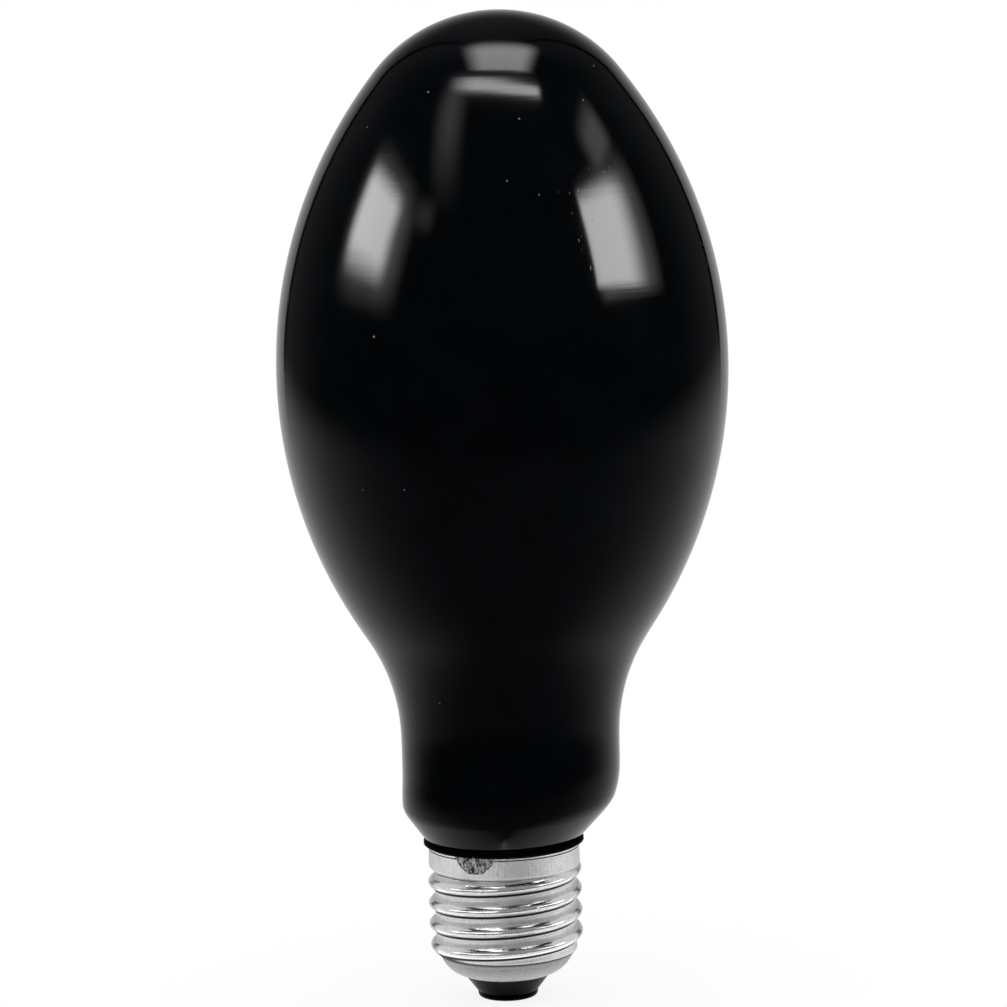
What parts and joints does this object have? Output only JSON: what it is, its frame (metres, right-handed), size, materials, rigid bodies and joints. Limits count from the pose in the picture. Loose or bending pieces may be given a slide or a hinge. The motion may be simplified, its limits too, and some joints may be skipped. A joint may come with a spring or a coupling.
{
  "type": "black-light bulb",
  "caption": "Sealed black glass bulb, egg-shaped with a straight neck, cemented into a nickel-plated Edison screw cap with an end contact.",
  "frame": {"origin": "on the bulb's axis, in the plane of the end contact's face", "axes": "+Z along the axis from the end contact to the crown of the glass, -Y towards the camera of the picture"},
  "size_m": [0.0756, 0.0756, 0.1669],
  "materials": {
    "black_glass": "gloss",
    "black_cement": "matt",
    "plated_sheet": "satin on the skirt, bright on the thread",
    "insulator_glass": "gloss",
    "contact_brass": "satin",
    "solder": "rough",
    "lead_wire": "satin"
  },
  "bodies": {
    "root": {"glass_envelope": "black_glass", "cement_ring": "black_cement", "screw_shell": "plated_sheet", "insulator": "insulator_glass", "centre_contact": "contact_brass", "contact_solder": "solder", "side_solder": "solder", "side_lead": "lead_wire", "centre_lead": "lead_wire"}
  },
  "joints": []
}
